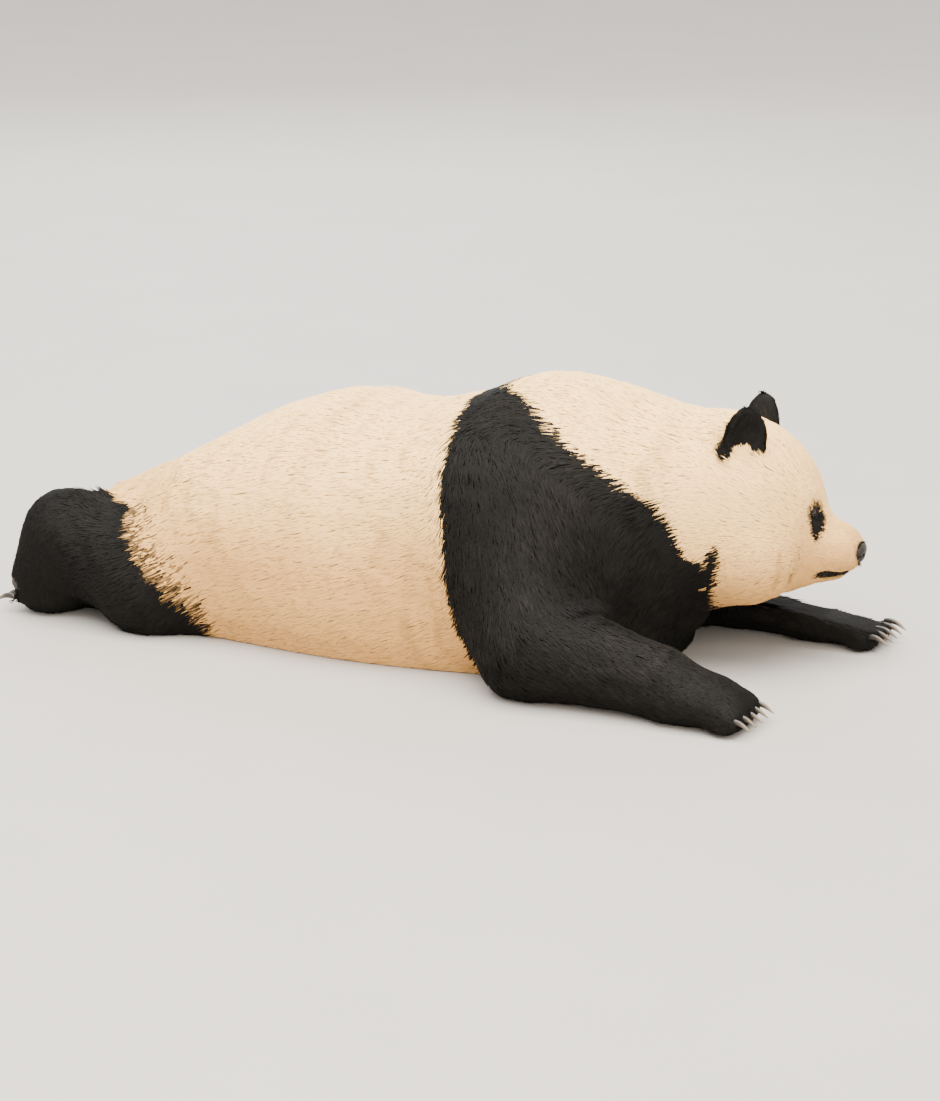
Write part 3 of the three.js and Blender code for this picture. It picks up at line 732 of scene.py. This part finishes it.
sole_leather = finish_material("sole_leather", sole_finish, Roughness=0.6, Specular_IOR_Level=0.2)
ray = ball_grid(PAD_RINGS, PAD_SIDES)
skin.data.calc_loop_triangles()
corner = column(skin.data.loop_triangles, "vertices", kind=np.int32)
on_pad, on_sole = np.full(len(place), -FAR), np.zeros(len(place))
for node, tips in SOLES.items():
    claws_at = tips[:, 1].mean()
    behind = (place[:, 0] < tips[:, 0].max() + FOOT_LENGTH) & (normal[:, 0] < 0.3)
    behind &= np.abs(place[:, 1] - claws_at) < FOOT_HALF
    surface = BVHTree.FromPolygons(place.tolist(), corner[behind[corner].all(axis=1)].tolist())
    made = []
    for across, rise, (half, high, out) in pads_of(node):
        spots = [across, rise] + [half, high] * ray[:, 1:]
        hits = [surface.ray_cast((BEHIND_ALL, y, z), (1, 0, 0)) for y, z in spots]
        off = unit(np.mean([hit[1] for hit in hits], axis=0))
        dome = np.where(ray[:, 0] > 0, out, PAD_UNDER) * ray[:, 0] - PAD_SINK
        on_skin = np.array([hit[0] for hit in hits])
        made.append((on_skin + dome[:, None] * off, ball_faces(PAD_RINGS, PAD_SIDES)))
        bare = (place[:, 1:] - [across, rise + BARE_OVER]) / [half, high + BARE_OVER]
        inside = 1 - np.linalg.norm(bare, axis=1)
        on_pad = np.where(behind, np.maximum(on_pad, inside), on_pad)
    middle = np.array([claws_at, tips[:, 2].min() + SOLE_OVER])
    sole = ramp(np.linalg.norm((place[:, 1:] - middle) / SOLE_HALF, axis=1), 1.15, 0.85)
    on_sole = np.where(behind, np.maximum(on_sole, sole), on_sole)
    pads = mesh_object(f"pads_{node}", *merged(made))
    pads.data.materials.append(sole_leather)
    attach(pads, "root")
length = length * (1 - 0.35 * on_sole)  # shorter and a little finer hair on the sole
width = width * (1 - 0.12 * on_sole)

# ---------------------------------------------------------------- coat
# Long coarse guard hair in closed tufts of solid mesh. Each is a thin three-sided spindle that
# leaves the skin at a low slant and lies over along the body, or, where the fur is short, a small
# straight spike. Tufts lean together into locks. They are shortest on the face, ears and paws.

rng = np.random.default_rng(21)
OFF_EYE, OFF_EYE_REACH = 2.2, 0.019  # how strongly hair turns away from the eye, and how far
EAR_BASE = 0.62                      # of the way to the ear's middle, where its hair starts
CHEEK_FALL = 0.7                     # hair on the cheeks and the throat hangs down by this
face = to_head(place)
from_nose = unit(face - NOSE_AT)
from_nose[:, 2] -= CHEEK_FALL * ramp(-face[:, 2], 0.01, 0.09) * ramp(0.11 - face[:, 0], 0, 0.05)
off_eye = face - EYE_AT * np.stack([np.ones(len(face)), mirror, np.ones(len(face))], axis=1)
off_eye = OFF_EYE * bump(off_eye, 0, OFF_EYE_REACH)[:, None] * unit(off_eye)
lie = np.where(head_part[:, None], (from_nose + off_eye) @ HEAD_AXES, coat_fact("lie"))
for number in parts_like("ear"):
    base = EAR_BASE * middle_of(FLESH[number]) + (1 - EAR_BASE) * skull_middle
    lie = np.where((numbers == number)[:, None], unit(place - base), lie)
lie = unit(lie)
for _ in range(24):
    lie = spread(lie, ends, 1)
    lie = lie - np.sum(lie * normal, axis=1, keepdims=True) * normal
    lie = unit(lie)


def bend_along(place, normal, ends, lie):
    """How fast the skin turns away along the lie, in 1/m: the mean over a point's edges e of
    (change of normal . e) / |e|^2, each weighed by (e . lie)^2 / |e|^2."""
    both = np.concatenate([ends, ends[:, ::-1]])
    step = place[both[:, 1]] - place[both[:, 0]]
    square = np.maximum(np.sum(step**2, axis=1), 1e-12)
    turn = np.sum((normal[both[:, 1]] - normal[both[:, 0]]) * step, axis=1) / square
    weight = np.sum(step * lie[both[:, 0]], axis=1) ** 2 / square
    total = np.bincount(both[:, 0], turn * weight, len(place))
    return total / np.maximum(np.bincount(both[:, 0], weight, len(place)), 1e-9)


normal = unit(spread(normal, ends, 2))
bend = spread(bend_along(place, normal, ends, lie), ends, 4)

COVER = 6.1     # tufts that lie over any one point of the skin
SHORT = 0.014   # tufts shorter than this are straight
FILLED = 0.55   # of its length times its width, what a tuft covers
THINNED = 0.72  # of the tufts, those missing under the body
off_lips, off_nose = ramp(-lip, -0.0014, -0.0002), ramp(nose_rim, 0.96, 1.00)
growing = ramp(opening, 1.25, 1.45) * ramp(-on_pad, 0, 0.15)
growing = growing * np.where(head_part, off_lips * off_nose, 1)
thick = growing * COVER / (FILLED * length * width) * (1 - THINNED * under)

spans = np.cross(place[corner[:, 1]] - place[corner[:, 0]], place[corner[:, 2]] - place[corner[:, 0]])
crowd = np.linalg.norm(spans, axis=1) / 2 * thick[corner].mean(axis=1)
total = np.cumsum(crowd)
count = int(total[-1])
chosen = np.searchsorted(total, (np.arange(count) + rng.random(count)) * total[-1] / count)
chosen = np.minimum(chosen, len(corner) - 1)
first, second = rng.random(count), rng.random(count)
folded_over = first + second > 1
first, second = (np.where(folded_over, 1 - one, one) for one in (first, second))
weights = np.stack([1 - first - second, first, second], axis=1)


def at_roots(values):
    """Values at the roots, between those at the corners of each root's triangle."""
    values = values.reshape(len(values), -1)
    return np.einsum("nk,nkd->nd", weights, values[corner[chosen]]).squeeze()


root, root_normal, root_lie = at_roots(place), unit(at_roots(normal)), unit(at_roots(lie))
root_depth, root_length, root_width, root_bend, root_leg, root_ear, root_lip, root_rim = (
    at_roots(values) for values in (depth, length, width, bend, leg, ear, lip, nose_rim))
chart = column(skin.data.uv_layers["OFBake"].data, "uv", 2)
loop = column(skin.data.loop_triangles, "loops", kind=np.int32)
root_chart = np.einsum("nk,nkd->nd", weights, chart[loop[chosen]])
root_part = numbers[corner[chosen, 0]]

# Large numbers that scatter the lattice's own ones.
CELL_MIXERS, MIXERS = [73856093, 19349663, 83492791], (2654435761, 40503, 2246822519)


def locks(points, size):
    """Nearest lock to each point: one lies at a chance place in every cell of a lattice.

    Gives the way to it and a chance value of its own, both made from the cell's whole numbers."""
    cell = np.floor(points / size).astype(np.int64)
    near, way, value = np.full(len(points), np.inf), np.zeros_like(points), np.zeros(len(points))
    for step in np.ndindex(3, 3, 3):
        other = cell + np.array(step) - 1
        mixed = (other * CELL_MIXERS).sum(axis=1)
        chance = np.stack([((mixed * k) >> 7) % 1013 / 1013 for k in MIXERS], axis=1)
        out = (other + chance) * size - points
        far = np.linalg.norm(out, axis=1)
        closer = far < near
        near = np.where(closer, far, near)
        way = np.where(closer[:, None], out, way)
        value = np.where(closer, chance[:, 0], value)
    return way, value


LOCK, GATHER = 0.020, 0.15  # a lock's size, and how far tips are drawn to its middle
way, lock_value = locks(root, LOCK)
way = way - np.sum(way * root_normal, axis=1, keepdims=True) * root_normal
gather = GATHER * np.clip(root_length / 0.04, 0.3, 1)
turn = rng.normal(0, np.radians(6), count) + (lock_value - 0.5) * np.radians(9)
side = np.cross(root_normal, root_lie)
along = np.cos(turn)[:, None] * root_lie + np.sin(turn)[:, None] * side
side = np.cross(root_normal, along)
reach = root_length * rng.uniform(0.72, 1.12, count)
lift = root_depth * rng.uniform(0.72, 1.0, count) * (0.92 + 0.12 * lock_value)
thin = root_width * rng.uniform(0.75, 1.2, count)
fall = np.clip(root_bend, -6, 0.9 / root_length)


def point_at(share, height):
    """A place on the tufts' middle lines: root + share of the reach along the lie, raised by a
    share of the lift and dropped by bend s^2 / 2 as the skin turns away, and drawn to its lock."""
    s = share * reach
    up_by = height * lift - fall * s**2 / 2
    pulled = (gather * share**2)[:, None] * way
    return root + s[:, None] * along + up_by[:, None] * root_normal + pulled


# A tuft's share of its reach and of its lift: under the skin, where a curved one is thick, its tip.
UNDER_SKIN, GIRTH, TIP = (0.0, -0.12), (0.44, 0.88), (0.97, 0.93)
RIDGE = 0.7         # of half its width, the height of its middle side
CHART_SIZE = 0.003  # of the map, a tuft's own patch at its root's place


def tufts(index, curved):
    """Closed tufts: points, faces, map, shares of the length, and the tuft's number at each point.

    A straight one has three sides from the skin to its tip. A curved one is a spindle: a point
    under the skin, three sides where it lies over, and a tip."""
    girth, ends = (GIRTH, [UNDER_SKIN, TIP]) if curved else (UNDER_SKIN, [TIP])
    rows = [(girth, across, rise) for across, rise in ((-1, 0), (0, RIDGE), (1, 0))]
    half = (thin[index] / 2)[:, None]
    points, maps, shares = [], [], []
    for (share, height), across, rise in rows + [(end, 0, 0) for end in ends]:
        middle = point_at(np.full(count, share), height)[index]
        points.append(middle + across * half * side[index] + rise * half * root_normal[index])
        maps.append(root_chart[index] + CHART_SIZE * np.array([across / 2, share - 0.5 + 0.1 * rise]))
        shares.append(np.full(len(index), share))
    faces = [] if curved else [(0, 1, 2)]
    for a, b in ((0, 1), (1, 2), (2, 0)):
        faces += [(a, b, 3), (b, a, 4)] if curved else [(b, a, 3)]
    points, maps, shares = (np.stack(values, axis=1) for values in (points, maps, shares))
    size = points.shape[1]
    faces = (np.array(faces) + size * np.arange(len(index))[:, None, None]).reshape(-1, 3)
    owner = np.repeat(index, size)
    return points.reshape(-1, 3), faces, maps.reshape(-1, 2), shares.ravel(), owner


RAGGED = 0.0034  # metres that the markings' edges stray, as a rule
SEEN = 0.45      # of its reach, where a tuft shows clear of the others
inside = dark_place(root + (SEEN * reach)[:, None] * along, root_leg)
ragged = rng.normal(0, RAGGED, count) + 0.003 * (lock_value - 0.5)
grizzled = ramp(root_leg, 0.25, 0.6) * ramp(inside + ragged, -0.075, 0.012)
faded = rng.uniform(0.62, 1.0, count) * (rng.random(count) < 0.9 * grizzled)
sharp = ramp(inside + ragged, -0.0008, 0.0008)
sooty = rng.random(count) > ramp(root_rim, 0.94, 1.03)    # close to the nose pad
sooty |= root_lip > -0.0010 - 0.0016 * rng.random(count)  # and to the lips
root_dark = np.maximum.reduce([sharp, faded, root_ear > 0.5, sooty])
root_tone = np.clip(0.5 + 0.22 * rng.normal(0, 1, count) + 0.35 * (lock_value - 0.5), 0, 1)


def coat_finish(socket):
    where = socket.where()
    height = socket.make("ShaderNodeSeparateXYZ", (), {"Vector": where}, "Z")
    tone, tip = socket.attribute("tone"), socket.attribute("tip")
    drift = socket.noise(where, 5.0, 3.0)
    # Lower on the body the cream turns darker and warmer: partly the coat's tan staining, partly painted
    # shade.
    low = (1 - height.step(0.06, 0.45)) * 0.9 + (drift - 0.5) * 0.5
    cream = low.step(0.0, 1.0).mix(CREAM, CREAM_LOW_STAIN_AND_SHADE)
    cream = (tone * 0.25).mix(cream, CREAM_WORN)
    worn = (tone * tip * 0.8 + (drift - 0.5) * 0.8).step(0.15, 1.0)
    black = worn.mix(BLACK, BLACK_WORN)
    return {"Base Color": socket.attribute("dark").mix(cream, black)}


hair = finish_material("guard_hair", coat_finish, Roughness=0.7, Specular_IOR_Level=0.08)

MOST = 31000         # tufts of one piece, to keep under 200,000 triangles
OVER_FLOOR = 0.0008  # the lowest place of a tuft
SOFT = 0.8           # of a tuft's shading, that of the skin under it
REGIONS = {
    "head": ("head", "jaw"), "ears": ("ear",), "neck": ("neck",), "chest": ("chest",),
    "back": ("belly",), "rump": ("rump", "tail"), "arms": ("upper_arm", "forearm"),
    "forepaws": ("forepaw",), "hind_legs": HIND_LEG,
}
spiky = root_length + rng.normal(0, 0.002, count) < SHORT
for region, words in REGIONS.items():
    members = np.flatnonzero(np.isin(root_part, parts_like(*words)))
    members = members[np.argsort(root[members, 0], kind="stable")]
    for part, index in enumerate(np.array_split(members, -(-len(members) // MOST))):
        kinds = [tufts(index[spiky[index]], curved=False), tufts(index[~spiky[index]], curved=True)]
        points, faces, maps, shares, owner = merged(kinds)
        points[:, 2] = np.maximum(points[:, 2], OVER_FLOOR)
        coat = mesh_object(f"coat_{region}_{part + 1}", points, faces)
        put(coat, dark=root_dark[owner], tone=root_tone[owner], tip=shares)
        chart_here = maps[faces.ravel()].astype(np.float32)
        coat.data.uv_layers.new(name="OFBake").data.foreach_set("uv", chart_here.ravel())
        soft = (1 - SOFT) * read(coat.data)[1] + SOFT * root_normal[owner]
        shading = coat.data.attributes.new("custom_normal", "FLOAT_VECTOR", "POINT")
        shading.data.foreach_set("vector", unit(soft).astype(np.float32).ravel())
        coat.data.materials.append(hair)
        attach(coat, "root")

# ---------------------------------------------------------------- eyes
# Small dark eyes, wet and clear, each an eyeball with a raised cornea, a brown iris and an upright
# slit of a pupil, as bears of this kind have. They turn a little to the side, deep in their lids.


def eye_finish(socket):
    away, slit = socket.attribute("away"), socket.attribute("slit")
    where = socket.where()
    fibres = socket.noise(where, 900.0, 3.0)
    iris = (fibres * 0.9 + away - 0.2).step(0.2, 0.9).mix(colour(40, 24, 14), colour(18, 11, 7))
    dark_eye = slit.step(0.10, 0.14).mix(colour(3, 2, 2), iris)
    return {"Base Color": away.step(0.56, 0.66).mix(dark_eye, colour(24, 17, 13))}


wet = finish_material("wet_eye", eye_finish, Roughness=0.04, Specular_IOR_Level=0.4)
EYE_RINGS, EYE_SIDES = 40, 40
CORNEA, CORNEA_REACH = 0.05, 0.5  # the bulge, of the eye's radius, and its reach in radians
PUPIL = np.array([1.5, 0.55])     # its distances count as this across and up: a slit
ray = ball_grid(EYE_RINGS, EYE_SIDES)
away = np.arccos(ray[:, 0])
slit = np.linalg.norm(ray[:, 1:] * PUPIL, axis=1)
bulge = EYE_RADIUS * (1 + CORNEA * np.exp(-((away / CORNEA_REACH) ** 2)))
for node, sign in (("eye_right", -1), ("eye_left", 1)):
    flip = np.array([1, sign, 1])
    gaze = GAZE * flip
    across = unit(np.cross([0, 0, 1], gaze)) * sign
    turned = ray @ np.array([gaze, across, np.cross(gaze, across) * sign])
    at = from_head(EYE_MIDDLE * flip + bulge[:, None] * turned)
    ball = mesh_object(f"{node}_ball", at, ball_faces(EYE_RINGS, EYE_SIDES))
    put(ball, away=away, slit=slit)
    ball.data.materials.append(wet)
    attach(ball, "root")
    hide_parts(node)

# ---------------------------------------------------------------- nose
# A bare pad of thick damp leather at the tip of the muzzle, with a nostril on each side that
# curls back into a slit, and a shallow parting down its middle.

NOSE_HALF = np.array([0.0145, 0.0265, 0.0185])
SQUARENESS = 2.5  # 2 is an egg, and more is squarer
CURL = np.array([[0.0140, 0.0095, -0.0030], [0.0115, 0.0165, -0.0010], [0.0060, 0.0225, -0.0065]])
CURL_WIDTH, CURL_DEPTH, NOSTRIL = 0.0030, 0.0046, 0.0050
PHILTRUM_WIDTH, PHILTRUM_DEPTH = 0.0016, 0.0012
NOSE_RINGS, NOSE_SIDES = 72, 96


def nose_surface(ray):
    """A squarish egg of half sizes NOSE_HALF, narrower below, cut in along each nostril's curl
    as exp(-(d / CURL_WIDTH)^2), d the distance from it, and in the same way down its middle."""
    box = (np.abs(ray) ** SQUARENESS).sum(axis=1) ** (-1 / SQUARENESS)
    face = ray * box[:, None] * NOSE_HALF
    face[:, 1] *= 1 - 0.20 * ramp(-face[:, 2], 0, 0.018)
    fold = np.stack([face[:, 0], np.abs(face[:, 1]), face[:, 2]], axis=1)
    hollow = np.exp(-((from_line(fold, CURL) / CURL_WIDTH) ** 2)) + 0.7 * bump(fold, CURL[0], NOSTRIL)
    middle = np.exp(-((face[:, 1] / PHILTRUM_WIDTH) ** 2)) * ramp(0.004 - face[:, 2], 0, 0.008)
    cut = CURL_DEPTH * np.minimum(hollow, 1.1) + PHILTRUM_DEPTH * middle
    return face - cut[:, None] * unit(ray), hollow


nose_face, hollow = nose_surface(ball_grid(NOSE_RINGS, NOSE_SIDES))
nose_pad = mesh_object("nose_pad", from_head(nose_face + NOSE_AT), ball_faces(NOSE_RINGS, NOSE_SIDES))
put(nose_pad, hollow=hollow)


def nose_finish(socket):
    where = socket.where()
    pebble = socket.make("ShaderNodeTexVoronoi", (), {"Vector": where, "Scale": 900.0})
    shade = socket.noise(where, 120.0).mix(colour(30, 26, 23), colour(46, 40, 35))
    # The nostrils' curls and openings are painted near black: painted shade in their hollows.
    leather = socket.attribute("hollow").step(0.25, 0.8).mix(shade, colour(9, 7, 6))
    return {"Base Color": leather, "Normal": pebble.bumps(0.5, 0.0005)}


nose_leather = finish_material("nose_leather", nose_finish, Roughness=0.42, Specular_IOR_Level=0.16)
nose_pad.data.materials.append(nose_leather)
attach(nose_pad, "root")
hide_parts("nose")

# ---------------------------------------------------------------- claws
# Five strong curved claws of dark horn on each foot, flat-sided and ridged, paler at the tip.
# Each starts inside its toe and ends where the solid claw ends.

CLAW_LENGTH, CLAW_FALL, CLAW_HOOK = 0.042, 0.013, 0.006
CLAW_HALF = [0.0042, 0.0056]
CLAW_RINGS, CLAW_SIDES = 14, 12


def claw_surface(tip, way):
    """A horn along s in 0..1, tip at s = 1: a falling curve with an oval section that thins as
    (1 - s^2.2)^0.7, closed by one point at each end. Gives its points, its faces and s."""
    s = np.linspace(0, 1, CLAW_RINGS)[:, None]
    line = tip + np.concatenate([
        way * CLAW_LENGTH * (s - 1), 0 * s, CLAW_FALL * (1 - s) + CLAW_HOOK * np.sin(np.pi * s)], axis=1)
    size = np.maximum(1 - s**2.2, 0.0) ** 0.7 * (0.9 + 0.1 * s)
    turn = np.arange(CLAW_SIDES) * 2 * np.pi / CLAW_SIDES
    rim = np.stack([0 * turn, np.cos(turn) * CLAW_HALF[0], np.sin(turn) * CLAW_HALF[1]], axis=1)
    rings = (line[:-1, None] + size[:-1, None] * rim[None]).reshape(-1, 3)
    faces = ball_faces(CLAW_RINGS, CLAW_SIDES)
    share = np.append(np.repeat(s[:-1, 0], CLAW_SIDES), [0, 1])
    return np.concatenate([rings, line[:1], line[-1:]]), faces if way < 0 else faces[:, ::-1], share


def horn_finish(socket):
    where = socket.where()
    ridges = socket.noise(where, 420.0, 3.0)
    paler = (socket.attribute("along") + (ridges - 0.5) * 0.5).step(0.35, 1.05)
    horn = paler.mix(colour(38, 32, 27), colour(128, 112, 92))
    return {"Base Color": horn, "Normal": ridges.bumps(0.25, 0.0005)}


claw_horn = finish_material("claw_horn", horn_finish, Roughness=0.34)
for node in (FLESH[number] for number in parts_like("forepaw", "hindfoot")):
    points, faces, share = merged([claw_surface(tip, claw_way(node)) for tip in tips_of(node)])
    claws = mesh_object(f"claws_{node}", points, faces)
    put(claws, along=share)
    claws.data.materials.append(claw_horn)
    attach(claws, "root")
